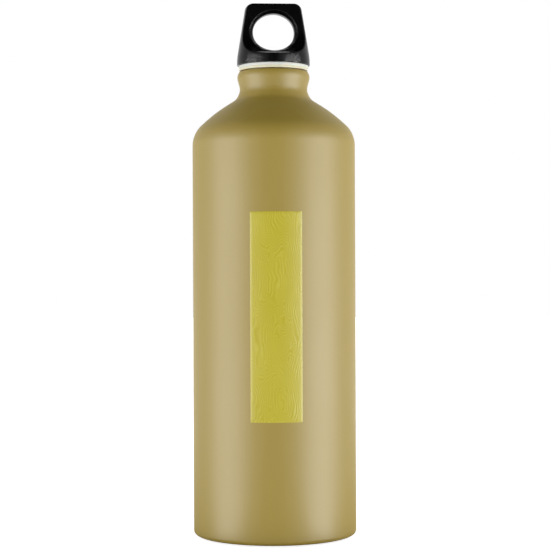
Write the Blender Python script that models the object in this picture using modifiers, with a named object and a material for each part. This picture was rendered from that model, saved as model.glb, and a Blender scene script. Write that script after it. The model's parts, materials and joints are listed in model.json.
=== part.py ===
"""A one-litre aluminium bottle with a screw cap and a carrying loop.

Units are metres. The bottle stands on the origin with +Z up and its front towards -Y.
Heights named on the shell are counted from the table, and those on the cap from the rim.
"""
import math

import bmesh
import bpy
from mathutils import Matrix, Vector

# Clearances
FIT_GAP = 0.0003            # between two pieces that touch
THREAD_GAP = 0.00035        # along and under the thread's flanks
CREST_GAP = 0.0004          # over the male thread's crest
RIM_CLEARANCE = 0.0008      # between the male thread and the rim that it passes
GASKET_CLEARANCE = 0.0006   # round the plug, inside the gasket
PANEL_GAP = 0.00015         # behind the thin front panel
OVERRUN = 0.002             # how far a cutter runs past what it cuts
FLARE_OVERRUN = 0.0005      # the same, where a hole's mouth flares
MERGE_DISTANCE = 0.000002

# How far a straight side may lie from the arc that it stands for
OUTER_TOLERANCE = 0.0001
INNER_TOLERANCE = 0.0002
CAP_TOLERANCE = 0.00005

# Shell: wall, foot and heel
BODY_RADIUS = 0.040
WALL = 0.0008
HEEL_FILLET = 0.0031
FOOT_WIDTH = 0.0059         # of the flat ring that it stands on
FOOT_FILLET = 0.003
DOME_RISE = 0.006           # how far the base is pushed up
DOME_SLOPE_RUN = 0.009
DOME_FILLET = 0.018

# Shell: shoulder, from where the straight wall would meet it
WALL_TOP = 0.1977
SHOULDER_RISE = 0.01668     # up to where the shoulder would meet the neck
SHOULDER_FILLET = 0.0135
CROWN_FILLET = 0.067        # the long flat arc over the shoulder
CROWN_REACH_SHARE = 0.525   # of the way in from the wall to the neck
CROWN_RISE_SHARE = 0.6115   # of the way up the shoulder

# Shell: neck, with a waist, a bulge over it and a rim that is rolled inwards
WAIST_RADIUS = 0.01626
WAIST_RISE = 0.00458
WAIST_FILLET = 0.0059
ROOT_FLARE = 0.00216
ROOT_FILLET = 0.0062
BULGE_SWELL = 0.00183
BULGE_RISE = 0.00677
BULGE_FILLET = 0.0046
RIM_RISE = 0.00307
RIM_TUCK = 0.00114
RIM_FILLET = 0.001

# Liner and thread ring, inside the shell
LINER_WALL = 0.0002
RING_WALL = 0.0008          # left outside the groove, at the waist
RING_HEIGHT = 0.007
RING_LEAD = 0.0005          # chamfer at each end of the ring's bore

# Thread: right-handed
PITCH = 0.004
THREAD_DEPTH = 0.0012
THREAD_ROOT_WIDTH = 0.0020
THREAD_CREST_WIDTH = 0.0010
THREAD_SUNK = 0.0006        # how deep the ridge sits in what carries it

# Plug and gasket
PLUG_DEPTH = 0.0114         # below the rim
PLUG_WALL = 0.0015
PLUG_FLOOR = 0.0012
PLUG_CHAMFER = 0.0008
THREAD_START = 0.0014       # above the plug's bottom face
THREAD_END = 0.0018         # below the rim
FLANGE_THICKNESS = 0.0008
FLANGE_SETBACK = 0.0009     # inside the cap's skirt
GASKET_THICKNESS = 0.0006
GASKET_CHAMFER = 0.0004

# Cap: skirt and cone
CAP_HEIGHT = 0.0304
CAP_TAPER = 0.0044          # how far it draws in on each side
CAP_TOP_FILLET = 0.0035
SKIRT_SETBACK = 0.0001      # inside the neck's bulge
SKIRT_STRAIGHT = 0.0035
SKIRT_FILLET = 0.025
SKIRT_WALL = 0.0020
SKIRT_DEPTH = 0.0023

# Cap: the flat loop between two scoops, and its finger hole
LOOP_THICKNESS = 0.0084
LOOP_SIDE = 0.0057          # left beside the hole, at its middle
LOOP_BAR = 0.0048           # left over the hole
SCOOP_RADIUS = 0.015
SCOOP_FLOOR = 0.0020        # between the skirt's hollow and the scoops
HOLE_SILL = 0.0024          # of the hole over the scoops
HOLE_EDGE = 0.0012          # chamfer round both mouths

# Cap: the hollow spigot that snaps into the plug, and its keys
SPIGOT_WALL = 0.0017
SPIGOT_TIP = 0.0006         # below the bead
BEAD_DEPTH = 0.0062         # of its crest below the flange's top
BEAD_LENGTH = 0.0020
BEAD_SHARE = 0.27           # of the plug's wall, which its groove takes
KEY_WIDTH = 0.0020
KEY_DEPTH = 0.0035          # below the flange's top
KEY_SHARE = 0.53            # of the plug's wall, which its slot takes

# Panel on the front
PANEL_THICKNESS = 0.00015
PANEL_HEIGHT = 0.0991
PANEL_CENTRE = 0.1084
PANEL_WIDTH = 0.0249        # along the wall
PANEL_OFFSET = 0.0010       # of its middle along the wall, to the right

# Angles and counts
CAP_TURN = math.radians(3.5)
SHARP_ANGLE = math.radians(32)
BODY_SEGMENTS = 48
LINER_SEGMENTS = BODY_SEGMENTS // 2
THREAD_SEGMENTS = 36
HOLE_SEGMENTS = 32
PANEL_SEGMENTS = 8
KEY_COUNT = 4
FADE_TURNS = 0.12           # over which the male thread runs out at each end
GROOVE_OVERRUN_TURNS = 0.5
FILLET_REACH_SHARE = 0.49   # the most of a side that one fillet may take

# Heights from the table
ROOT_HEIGHT = WALL_TOP + SHOULDER_RISE
WAIST_HEIGHT = ROOT_HEIGHT + WAIST_RISE
BULGE_HEIGHT = WAIST_HEIGHT + BULGE_RISE
RIM_HEIGHT = BULGE_HEIGHT + RIM_RISE
RING_TOP = RIM_HEIGHT - WALL - FIT_GAP
RING_BOTTOM = RING_TOP - RING_HEIGHT
LINER_TOP = RING_BOTTOM - FIT_GAP

# Heights from the rim
THREAD_FOOT = -PLUG_DEPTH + THREAD_START
GASKET_TOP = FIT_GAP + GASKET_THICKNESS
FLANGE_BOTTOM = GASKET_TOP + FIT_GAP
FLANGE_TOP = FLANGE_BOTTOM + FLANGE_THICKNESS
SKIRT_EDGE = FLANGE_TOP + FIT_GAP
CAVITY_TOP = SKIRT_EDGE + SKIRT_DEPTH
SHELF = CAVITY_TOP + SCOOP_FLOOR
CAP_TOP = SKIRT_EDGE + CAP_HEIGHT
HOLE_BOTTOM = SHELF + HOLE_SILL
HOLE_TOP = CAP_TOP - LOOP_BAR
BEAD_LEVEL = FLANGE_TOP - BEAD_DEPTH
KEY_BOTTOM = FLANGE_TOP - KEY_DEPTH

# Radii, from the neck inwards and then outwards
GROOVE_RADIUS = WAIST_RADIUS - WALL - FIT_GAP - RING_WALL
CREST_RADIUS = GROOVE_RADIUS - CREST_GAP
ROOT_RADIUS = CREST_RADIUS - THREAD_DEPTH
RING_BORE = ROOT_RADIUS + THREAD_GAP
RIM_BORE = CREST_RADIUS + RIM_CLEARANCE
PLUG_BORE = ROOT_RADIUS - PLUG_WALL
SPIGOT_RADIUS = PLUG_BORE - FIT_GAP
SPIGOT_BORE = SPIGOT_RADIUS - SPIGOT_WALL
BULGE_RADIUS = WAIST_RADIUS + BULGE_SWELL
SKIRT_RADIUS = BULGE_RADIUS - SKIRT_SETBACK
FLANGE_RADIUS = SKIRT_RADIUS - FLANGE_SETBACK


def clear_scene():
    """Removes whatever the scene holds."""
    for item in list(bpy.data.objects):
        bpy.data.objects.remove(item, do_unlink=True)


def collection(name):
    """A new collection in the scene."""
    group = bpy.data.collections.new(name)
    bpy.context.scene.collection.children.link(group)
    return group


def material(name, colour, roughness, metallic=0.0):
    """A Principled material."""
    paint = bpy.data.materials.new(name)
    paint.use_nodes = True
    shader = paint.node_tree.nodes["Principled BSDF"]
    shader.inputs["Base Color"].default_value = (*colour, 1.0)
    shader.inputs["Roughness"].default_value = roughness
    shader.inputs["Metallic"].default_value = metallic
    paint.diffuse_color = (*colour, 1.0)
    return paint


# Outlines: corners are (radius, height, fillet) and points are (radius, height)


def directions(before, corner, after):
    """Unit vectors from a corner to its neighbours, and half the angle between them."""
    back = (Vector(before[:2]) - Vector(corner[:2])).normalized()
    ahead = (Vector(after[:2]) - Vector(corner[:2])).normalized()
    return back, ahead, back.angle(ahead) / 2


def turns_left(back, ahead):
    """True where an outline bends to its left, seen along its run."""
    return back.x * ahead.y - back.y * ahead.x < 0


def fillet(before, corner, after, tolerance):
    """Points of the arc that rounds one corner, limited by the sides that it joins."""
    back, ahead, half = directions(before, corner, after)
    point = Vector(corner[:2])
    sides = (Vector(before[:2]) - point).length, (Vector(after[:2]) - point).length
    reach = min(corner[2] / math.tan(half), FILLET_REACH_SHARE * min(sides))
    if reach < MERGE_DISTANCE:
        return [tuple(point)]
    radius = reach * math.tan(half)
    centre = point + (back + ahead).normalized() * (radius / math.sin(half))
    sweep = math.pi - 2 * half
    step = 2 * math.acos(max(0.0, 1 - tolerance / radius))
    count = math.ceil(sweep / step)
    if not turns_left(back, ahead):
        sweep = -sweep
    arm = point + back * reach - centre
    return [tuple(centre + Matrix.Rotation(sweep * i / count, 2) @ arm) for i in range(count + 1)]


def rounded(corners, tolerance):
    """The points of an outline, with its fillets worked out."""
    points = [corners[0][:2]]
    for before, corner, after in zip(corners, corners[1:], corners[2:]):
        points += fillet(before, corner, after, tolerance)
    points.append(corners[-1][:2])
    return points


def side_step(end, neighbour, depth):
    """An outline's end, moved square to its last side."""
    along = (Vector(neighbour[:2]) - Vector(end[:2])).normalized()
    return end[0] - along.y * depth, end[1] + along.x * depth


def inset(corners, depth):
    """The corners of a parallel outline, at a depth to the left of the first one."""
    moved = [side_step(corners[0], corners[1], depth)]
    for before, corner, after in zip(corners, corners[1:], corners[2:]):
        back, ahead, half = directions(before, corner, after)
        inward = depth if turns_left(back, ahead) else -depth
        point = Vector(corner[:2]) + (back + ahead).normalized() * (inward / math.sin(half))
        moved.append((point.x, point.y, max(0.0, corner[2] - inward)))
    moved.append(side_step(corners[-1], corners[-2], -depth))
    return moved


def crossing(start, end, height):
    """Where the side between two points passes a height."""
    share = (height - start[1]) / (end[1] - start[1])
    return start[0] + (end[0] - start[0]) * share, height


def part_below(points, height):
    """The run of an outline up to a height, cut there."""
    kept = [points[0]]
    for start, end in zip(points, points[1:]):
        if end[1] >= height - MERGE_DISTANCE:
            kept.append(crossing(start, end, height))
            break
        kept.append(end)
    return kept


def part_between(points, low, high):
    """The run of an outline between two heights, from the top down."""
    falling = part_below(points, high)[::-1]
    kept = [falling[0]]
    for start, end in zip(falling, falling[1:]):
        if end[1] <= low + MERGE_DISTANCE:
            kept.append(crossing(start, end, low))
            break
        kept.append(end)
    return kept


# Bodies


def object_of(name, form):
    """An object that takes over a bmesh."""
    mesh = bpy.data.meshes.new(name)
    form.to_mesh(mesh)
    form.free()
    return bpy.data.objects.new(name, mesh)


def turned(name, outline, segments, closed=False):
    """A body turned round the Z axis; its outline runs down the outer side."""
    edges = [(i, i + 1) for i in range(len(outline) - 1)]
    if closed:
        edges.append((len(outline) - 1, 0))
    mesh = bpy.data.meshes.new(name)
    mesh.from_pydata([(radius, 0, height) for radius, height in outline], edges, [])
    piece = bpy.data.objects.new(name, mesh)
    turn = piece.modifiers.new("turn", "SCREW")
    turn.steps = segments
    turn.render_steps = segments
    turn.use_merge_vertices = True
    turn.merge_threshold = MERGE_DISTANCE
    return piece


def skinned(name, form, rings):
    """A closed body through rings of vertices, with its two ends filled."""
    for ring, following in zip(rings, rings[1:]):
        for i in range(len(ring)):
            j = (i + 1) % len(ring)
            form.faces.new((ring[i], ring[j], following[j], following[i]))
    form.faces.new(rings[0])
    form.faces.new(rings[-1])
    bmesh.ops.recalc_face_normals(form, faces=form.faces)
    return object_of(name, form)


def extruded(name, outline, half_thickness, group):
    """A mesh slab made from a flat closed outline, thickened both ways along its local Z."""
    curve = bpy.data.curves.new(name, "CURVE")
    curve.dimensions = "2D"
    curve.fill_mode = "BOTH"
    curve.extrude = half_thickness
    spline = curve.splines.new("POLY")
    spline.points.add(len(outline) - 1)
    for point, (x, y) in zip(spline.points, outline):
        point.co = (x, y, 0, 1)
    spline.use_cyclic_u = True
    flat = bpy.data.objects.new(name, curve)
    group.objects.link(flat)
    bpy.context.view_layer.update()
    mesh = bpy.data.meshes.new_from_object(flat.evaluated_get(bpy.context.evaluated_depsgraph_get()))
    bpy.data.objects.remove(flat, do_unlink=True)
    form = bmesh.new()
    form.from_mesh(mesh)
    bpy.data.meshes.remove(mesh)
    bmesh.ops.remove_doubles(form, verts=form.verts, dist=MERGE_DISTANCE)
    return object_of(name, form)


def ring_of_boxes(name, radii, width, heights):
    """Upright boxes between two radii and two heights, one for each key."""
    form = bmesh.new()
    size = Matrix.Diagonal((radii[1] - radii[0], width, heights[1] - heights[0], 1))
    shift = Matrix.Translation((sum(radii) / 2, 0, sum(heights) / 2))
    for i in range(KEY_COUNT):
        turn = Matrix.Rotation(math.tau * (i + 0.5) / KEY_COUNT, 4, "Z")
        bmesh.ops.create_cube(form, size=1, matrix=turn @ shift @ size)
    return object_of(name, form)


def empty(name, group, height, turn, parent=None):
    """An empty on the bottle's axis, which carries pieces that move together."""
    marker = bpy.data.objects.new(name, None)
    group.objects.link(marker)
    marker.location.z = height
    marker.rotation_euler.z = turn
    marker.empty_display_size = BODY_RADIUS / 2
    marker.parent = parent
    return marker


def place(piece, group, paint, parent=None):
    """Puts a piece in its collection, with its material."""
    group.objects.link(piece)
    piece.data.materials.append(paint)
    piece.parent = parent
    return piece


def use_cutter(piece, cutter, group, operation="DIFFERENCE"):
    """Cuts a piece with a helper shape, or joins it on, and shows the helper as wire only."""
    group.objects.link(cutter)
    cutter.hide_render = True
    cutter.display_type = "WIRE"
    cutter.parent = cutter.parent or piece.parent
    change = piece.modifiers.new(cutter.name, "BOOLEAN")
    change.operation = operation
    change.solver = "EXACT"
    change.object = cutter


def settle(piece):
    """Fixes a piece's modifiers into its mesh and shades its round faces smooth."""
    mesh = bpy.data.meshes.new_from_object(piece.evaluated_get(bpy.context.evaluated_depsgraph_get()))
    old = piece.data
    piece.modifiers.clear()
    piece.data = mesh
    bpy.data.meshes.remove(old)
    mesh.name = piece.name
    mesh.shade_smooth()
    mesh.set_sharp_from_angle(angle=SHARP_ANGLE)


# The shell and what it holds


def shell_corners():
    """The shell's outer outline, from the middle of the base up to the rim's inner edge."""
    foot_inner = BODY_RADIUS - HEEL_FILLET - FOOT_WIDTH
    root_radius = WAIST_RADIUS + ROOT_FLARE
    crown_radius = BODY_RADIUS - (BODY_RADIUS - root_radius) * CROWN_REACH_SHARE
    return [
        (0, DOME_RISE),
        (foot_inner - DOME_SLOPE_RUN, DOME_RISE, DOME_FILLET),
        (foot_inner, 0, FOOT_FILLET),
        (BODY_RADIUS, 0, HEEL_FILLET),
        (BODY_RADIUS, WALL_TOP, SHOULDER_FILLET),
        (crown_radius, WALL_TOP + SHOULDER_RISE * CROWN_RISE_SHARE, CROWN_FILLET),
        (root_radius, ROOT_HEIGHT, ROOT_FILLET),
        (WAIST_RADIUS, WAIST_HEIGHT, WAIST_FILLET),
        (BULGE_RADIUS, BULGE_HEIGHT, BULGE_FILLET),
        (BULGE_RADIUS - RIM_TUCK, RIM_HEIGHT, RIM_FILLET),
        (RIM_BORE, RIM_HEIGHT),
    ]


def make_shell(group):
    """The seamless aluminium shell."""
    outside = rounded(shell_corners(), OUTER_TOLERANCE)
    inside = rounded(inset(shell_corners(), WALL), INNER_TOLERANCE)
    paint = material("khaki_gold_lacquer", (0.45, 0.37, 0.16), 0.38, 0.75)
    return place(turned("bottle_shell", inside + outside[::-1], BODY_SEGMENTS), group, paint)


def make_liner(group):
    """The lining baked on inside the shell, up to the thread ring."""
    depths = WALL + FIT_GAP, WALL + FIT_GAP + LINER_WALL
    faces = [rounded(inset(shell_corners(), depth), INNER_TOLERANCE) for depth in depths]
    outside, inside = [part_below(face, LINER_TOP) for face in faces]
    paint = material("food_lacquer", (0.62, 0.56, 0.42), 0.45)
    return place(turned("inner_liner", inside + outside[::-1], LINER_SEGMENTS), group, paint)


def make_panel(group):
    """The thin panel on the front wall."""
    radius = BODY_RADIUS + PANEL_GAP
    sweep = PANEL_WIDTH / radius
    low = PANEL_CENTRE - PANEL_HEIGHT / 2
    panel = turned("label_panel", [(radius, low + PANEL_HEIGHT), (radius, low)], PANEL_SEGMENTS)
    panel.modifiers["turn"].angle = sweep
    panel.rotation_euler.z = PANEL_OFFSET / radius - math.pi / 2 - sweep / 2
    skin = panel.modifiers.new("thickness", "SOLIDIFY")
    skin.thickness = PANEL_THICKNESS
    skin.offset = 1
    return place(panel, group, material("yellow_foil", (0.50, 0.42, 0.08), 0.45, 0.2))


# The thread, which the ring and the plug share


def tooth_half_width(radius):
    """Half the male thread's width at a radius."""
    share = (radius - ROOT_RADIUS) / THREAD_DEPTH
    return (THREAD_ROOT_WIDTH + (THREAD_CREST_WIDTH - THREAD_ROOT_WIDTH) * share) / 2


def helix(name, radii, widening, turns, fade):
    """One tooth of the thread, swept between two turns that count from the thread's foot.

    Over the first and last fade turns its crest sinks to half the sunk depth.
    """
    count = math.ceil((turns[1] - turns[0]) * THREAD_SEGMENTS)
    buried = radii[0] + THREAD_SUNK / 2
    form = bmesh.new()
    rings = []
    for i in range(count + 1):
        turn = turns[0] + (turns[1] - turns[0]) * i / count
        grown = 1.0
        if fade:
            grown = min(1.0, (turn - turns[0]) / fade, (turns[1] - turn) / fade)
        crest = buried + (radii[1] - buried) * grown
        ring = []
        for radius, side in ((radii[0], -1), (crest, -1), (crest, 1), (radii[0], 1)):
            level = THREAD_FOOT + turn * PITCH + side * (tooth_half_width(radius) + widening)
            across = Matrix.Rotation(turn * math.tau, 2) @ Vector((radius, 0))
            ring.append(form.verts.new((*across, level)))
        rings.append(ring)
    return skinned(name, form, rings)


def make_thread_ring(group, cutters):
    """The insert that the bulge of the neck holds, with the female thread cut in it."""
    neck = rounded(inset(shell_corners(), WALL + FIT_GAP), INNER_TOLERANCE)
    outline = part_between(neck, RING_BOTTOM, RING_TOP) + [
        (RING_BORE + RING_LEAD, RING_BOTTOM),
        (RING_BORE, RING_BOTTOM + RING_LEAD),
        (RING_BORE, RING_TOP - RING_LEAD),
        (RING_BORE + RING_LEAD, RING_TOP),
    ]
    paint = material("bare_aluminium", (0.72, 0.72, 0.74), 0.35, 1.0)
    ring = place(turned("neck_thread_ring", outline, THREAD_SEGMENTS, closed=True), group, paint)
    first = (RING_BOTTOM - RIM_HEIGHT - THREAD_FOOT) / PITCH - GROOVE_OVERRUN_TURNS
    last = (RING_TOP - RIM_HEIGHT - THREAD_FOOT) / PITCH + GROOVE_OVERRUN_TURNS
    groove = helix("groove_cutter", (RING_BORE - THREAD_SUNK, GROOVE_RADIUS), THREAD_GAP, (first, last), 0)
    groove.location.z = RIM_HEIGHT
    groove.rotation_euler.z = CAP_TURN
    use_cutter(ring, groove, cutters)
    return ring


# The cap and its seal


def make_gasket(group, parent):
    """The flat seal between the plug's flange and the rim."""
    outline = [
        (FLANGE_RADIUS, GASKET_TOP),
        (FLANGE_RADIUS - GASKET_CHAMFER, FIT_GAP),
        (ROOT_RADIUS + GASKET_CLEARANCE, FIT_GAP),
        (ROOT_RADIUS + GASKET_CLEARANCE, GASKET_TOP),
    ]
    paint = material("cream_silicone", (0.80, 0.78, 0.62), 0.6)
    return place(turned("sealing_gasket", outline, BODY_SEGMENTS, closed=True), group, paint, parent)


def make_plug(group, cutters, parent):
    """The plug that the cap is built on: flange, cup and male thread."""
    bottom = -PLUG_DEPTH
    outline = [
        (0, bottom + PLUG_FLOOR),
        (PLUG_BORE, bottom + PLUG_FLOOR),
        (PLUG_BORE, BEAD_LEVEL - BEAD_LENGTH / 2),
        (PLUG_BORE + PLUG_WALL * BEAD_SHARE, BEAD_LEVEL),
        (PLUG_BORE, BEAD_LEVEL + BEAD_LENGTH / 2),
        (PLUG_BORE, FLANGE_TOP),
        (FLANGE_RADIUS, FLANGE_TOP),
        (FLANGE_RADIUS, FLANGE_BOTTOM),
        (ROOT_RADIUS, FLANGE_BOTTOM),
        (ROOT_RADIUS, bottom + PLUG_CHAMFER),
        (ROOT_RADIUS - PLUG_CHAMFER, bottom),
        (0, bottom),
    ]
    paint = material("cream_plastic", (0.86, 0.85, 0.76), 0.45)
    plug = place(turned("threaded_plug", outline, THREAD_SEGMENTS), group, paint, parent)
    turns = (PLUG_DEPTH - THREAD_START - THREAD_END) / PITCH
    ridge = helix("thread_ridge", (ROOT_RADIUS - THREAD_SUNK, CREST_RADIUS), 0, (0, turns), FADE_TURNS)
    use_cutter(plug, ridge, cutters, "UNION")
    slot_radii = PLUG_BORE - OVERRUN, PLUG_BORE + PLUG_WALL * KEY_SHARE
    slot_heights = KEY_BOTTOM - FIT_GAP, FLANGE_TOP + OVERRUN
    slots = ring_of_boxes("key_slots", slot_radii, KEY_WIDTH + 2 * FIT_GAP, slot_heights)
    use_cutter(plug, slots, cutters)
    return plug


def make_scoop(name, side, group):
    """What is scooped away on one side of the loop: flat above, hollow below."""
    face = LOOP_THICKNESS / 2
    far = SKIRT_RADIUS + 2 * SCOOP_RADIUS
    top = CAP_TOP + SCOOP_RADIUS
    corners = [(far, top), (face, top, 0), (face, SHELF, SCOOP_RADIUS), (far, SHELF)]
    scoop = extruded(name, rounded(corners, CAP_TOLERANCE), SKIRT_RADIUS + OVERRUN, group)
    outward = Vector((0, side, 0))
    upward = Vector((0, 0, 1))
    frame = Matrix((outward, upward, outward.cross(upward))).transposed()
    scoop.data.transform(frame.to_4x4())
    return scoop


def scoop_depth(height):
    """How far the loop's face lies from its middle plane, at a height."""
    drop = min(SCOOP_RADIUS, max(0.0, SHELF + SCOOP_RADIUS - height))
    return LOOP_THICKNESS / 2 + SCOOP_RADIUS - math.sqrt(SCOOP_RADIUS ** 2 - drop ** 2)


def hole_ring(form, growth, side, depth_at):
    """One oval of the finger hole's cutter, as far from the middle plane as its height asks."""
    middle = (HOLE_TOP + HOLE_BOTTOM) / 2
    tall = (HOLE_TOP - HOLE_BOTTOM) / 2 + growth
    drawn_in = CAP_TAPER * (middle - SKIRT_EDGE - SKIRT_STRAIGHT) / (CAP_HEIGHT - SKIRT_STRAIGHT)
    wide = SKIRT_RADIUS - drawn_in - LOOP_SIDE + growth
    ring = []
    for i in range(HOLE_SEGMENTS):
        angle = math.tau * i / HOLE_SEGMENTS
        height = middle + tall * math.sin(angle)
        ring.append(form.verts.new((wide * math.cos(angle), side * depth_at(height), height)))
    return ring


def make_hole():
    """The finger hole's cutter, an oval whose edges flare at both mouths of the loop."""
    flare = HOLE_EDGE + FLARE_OVERRUN
    form = bmesh.new()
    rings = []
    for side in (-1, 1):
        mouth = [
            hole_ring(form, flare, side, lambda height: SKIRT_RADIUS + OVERRUN),
            hole_ring(form, flare, side, lambda height: scoop_depth(height) + FLARE_OVERRUN),
            hole_ring(form, 0, side, lambda height: scoop_depth(height) - HOLE_EDGE),
        ]
        rings += mouth[::-side]
    return skinned("finger_hole", form, rings)


def make_handle(group, cutters, parent):
    """The moulded cap: round skirt, flat loop, and the hollow spigot underneath."""
    outside = rounded([
        (0, CAP_TOP),
        (SKIRT_RADIUS - CAP_TAPER, CAP_TOP, CAP_TOP_FILLET),
        (SKIRT_RADIUS, SKIRT_EDGE + SKIRT_STRAIGHT, SKIRT_FILLET),
        (SKIRT_RADIUS, SKIRT_EDGE),
    ], CAP_TOLERANCE)
    tip = BEAD_LEVEL - BEAD_LENGTH / 2 - SPIGOT_TIP
    inside = [
        (SKIRT_RADIUS - SKIRT_WALL, SKIRT_EDGE),
        (SKIRT_RADIUS - SKIRT_WALL, CAVITY_TOP),
        (SPIGOT_RADIUS, CAVITY_TOP),
        (SPIGOT_RADIUS, BEAD_LEVEL + BEAD_LENGTH / 2),
        (SPIGOT_RADIUS + PLUG_WALL * BEAD_SHARE, BEAD_LEVEL),
        (SPIGOT_RADIUS, BEAD_LEVEL - BEAD_LENGTH / 2),
        (SPIGOT_RADIUS, tip),
        (SPIGOT_BORE, tip),
        (SPIGOT_BORE, CAVITY_TOP),
        (0, CAVITY_TOP),
    ]
    paint = material("black_plastic", (0.012, 0.012, 0.013), 0.4)
    handle = place(turned("cap_handle", outside + inside, BODY_SEGMENTS), group, paint, parent)
    key_radii = SPIGOT_RADIUS - SPIGOT_WALL / 2, SPIGOT_RADIUS + PLUG_WALL * KEY_SHARE
    keys = ring_of_boxes("keys", key_radii, KEY_WIDTH, (KEY_BOTTOM, CAVITY_TOP + SCOOP_FLOOR / 2))
    use_cutter(handle, keys, cutters, "UNION")
    use_cutter(handle, make_scoop("front_scoop", -1, cutters), cutters)
    use_cutter(handle, make_scoop("back_scoop", 1, cutters), cutters)
    use_cutter(handle, make_hole(), cutters)
    return handle


def main():
    """Builds the bottle."""
    clear_scene()
    group = collection("aluminium_bottle")
    cutters = collection("cutters")
    seal_axis = empty("seal_axis", group, RIM_HEIGHT, 0)
    cap_axis = empty("cap_axis", group, 0, CAP_TURN, seal_axis)
    pieces = [
        make_shell(group),
        make_liner(group),
        make_thread_ring(group, cutters),
        make_panel(group),
        make_gasket(group, seal_axis),
        make_plug(group, cutters, cap_axis),
        make_handle(group, cutters, cap_axis),
    ]
    bpy.context.view_layer.update()
    for piece in pieces:
        settle(piece)


main()
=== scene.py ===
"""A screw-top aluminium bottle: its finishes, and the studio that it stands in.

The file is laid out as an add-on and run as a script. Lengths are metres, +Z is up and the
bottle's front faces -Y. Heights on the shell are counted from the table, and those on the
cap from the rim. Each operator builds one piece, or a group of like ones.
"""
import json
import math

import bmesh
import bpy
from bpy.props import FloatProperty, FloatVectorProperty, IntProperty, PointerProperty
from bpy.types import Operator, Panel, PropertyGroup
from mathutils import Matrix, Vector, noise

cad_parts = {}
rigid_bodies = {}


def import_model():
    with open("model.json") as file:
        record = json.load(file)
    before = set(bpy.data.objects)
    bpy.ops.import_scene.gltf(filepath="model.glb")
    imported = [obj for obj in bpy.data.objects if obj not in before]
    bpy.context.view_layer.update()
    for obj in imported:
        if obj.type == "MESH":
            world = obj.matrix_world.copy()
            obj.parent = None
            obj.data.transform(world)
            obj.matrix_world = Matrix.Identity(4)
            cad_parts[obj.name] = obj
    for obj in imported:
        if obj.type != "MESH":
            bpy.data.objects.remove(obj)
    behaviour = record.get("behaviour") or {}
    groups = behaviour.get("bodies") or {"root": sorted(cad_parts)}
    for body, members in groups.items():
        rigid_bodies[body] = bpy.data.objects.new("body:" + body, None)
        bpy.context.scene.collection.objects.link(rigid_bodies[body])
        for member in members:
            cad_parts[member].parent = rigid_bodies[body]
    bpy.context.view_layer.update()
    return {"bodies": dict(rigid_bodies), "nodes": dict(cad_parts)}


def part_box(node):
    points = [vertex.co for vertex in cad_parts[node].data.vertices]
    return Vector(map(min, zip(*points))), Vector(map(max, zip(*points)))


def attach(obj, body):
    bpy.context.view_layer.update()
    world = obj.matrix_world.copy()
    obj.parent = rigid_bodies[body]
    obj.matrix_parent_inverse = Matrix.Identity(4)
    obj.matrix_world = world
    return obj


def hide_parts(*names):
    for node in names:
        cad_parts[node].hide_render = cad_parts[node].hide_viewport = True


bl_info = {
    "name": "Aluminium Bottle",
    "version": (1, 0, 0),
    "blender": (4, 5, 0),
    "location": "View3D > Sidebar > Bottle",
    "description": "Builds a screw-top aluminium bottle with its finishes, lamps and camera",
    "category": "Add Mesh",
}

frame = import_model()
SHELL_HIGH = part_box("bottle_shell")[1]
RING_LOW, RING_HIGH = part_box("neck_thread_ring")
PANEL_LOW, PANEL_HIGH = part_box("label_panel")
CAP_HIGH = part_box("cap_handle")[1]

CREASE = "crease"
TINY = 1e-6
ARC_STEP = math.radians(4)
SHARP_ANGLE = math.radians(40)

# Grain of the finishes: a blot's size, or its size along each axis, and how deep it is
FLAKE, FLAKE_DEPTH = 0.00022, 0.000012
CLOUD = (0.030, 0.030, 0.055)
PEEL, PEEL_DEPTH = 0.0012, 0.000004
SCUFF = (0.0012, 0.0012, 0.0004)
SCUFF_HEIGHT = 0.0006
LINING_PEEL, LINING_DEPTH = 0.0018, 0.00002
STAIN = 0.012
TURNING, TURNING_DEPTH = (0.02, 0.02, 0.00009), 0.000006
SMEAR = 0.004
FOIL_CLOUD = (0.010, 0.010, 0.024)
FOIL_SPECK, SPECK_DEPTH = (0.0006, 0.0006, 0.0010), 0.00002
SILICONE_CLOUD = 0.003
SILICONE_GRAIN, SILICONE_DEPTH = 0.0002, 0.00001
PLUG_CLOUD = 0.006
PLUG_GRAIN, PLUG_DEPTH = 0.00025, 0.000008
CAP_CLOUD = 0.007
CAP_SWELL, SWELL_DEPTH = 0.004, 0.00001
CAP_GRAIN, CAP_DEPTH = 0.00016, 0.000006

# Roughness from the clearest blots to the dullest, and how far it strays from a user's value
LINING_GLOSS, METAL_GLOSS = (0.24, 0.34), (0.24, 0.38)
SILICONE_GLOSS, PLUG_GLOSS = (0.50, 0.62), (0.42, 0.52)
LACQUER_STRAY, FOIL_STRAY, CAP_STRAY = (-0.02, 0.02), (-0.05, 0.05), (-0.03, 0.05)

# What the blots of a finish do to its red, green and blue
LINING_TINT, METAL_TINT, PLUG_TINT, CAP_TINT = (0.86,) * 3, (0.82,) * 3, (0.95,) * 3, (1.6,) * 3
SILICONE_TINT = (0.97, 0.94, 0.86)

# The foil: from the wall to its back, width of its notched margins and of its sloping edges,
# and how far the edges wander
FOIL_BACKING, FOIL_MARGIN, FOIL_EDGE, FOIL_WANDER = 0.00008, 0.0030, 0.0013, 0.0001
# What is left of its thickness at the edges, its faces across and up, and the seed of the
# edges' wandering, which without one would differ from run to run
THIN_EDGE, FOIL_COLUMNS, FOIL_ROWS, FOIL_SEED = 0.25, 120, 400, 1

# The foil's folds: how far broad and fine swirls bend them, in spacings, how many times finer
# the fine ones are, and how many times more the level folds bend than the upright ones
BROAD_BEND, FINE_BEND, FINER, LEVEL_BEND = 2.8, 0.8, 3, 3
# How suddenly and how often upright folds turn into level ones, and how high folds are
PATCH_GAIN, PATCH_SHIFT = 3, 0.3
FOLD_HEIGHT, FOLD_SWING = 0.55, 0.45
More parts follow.
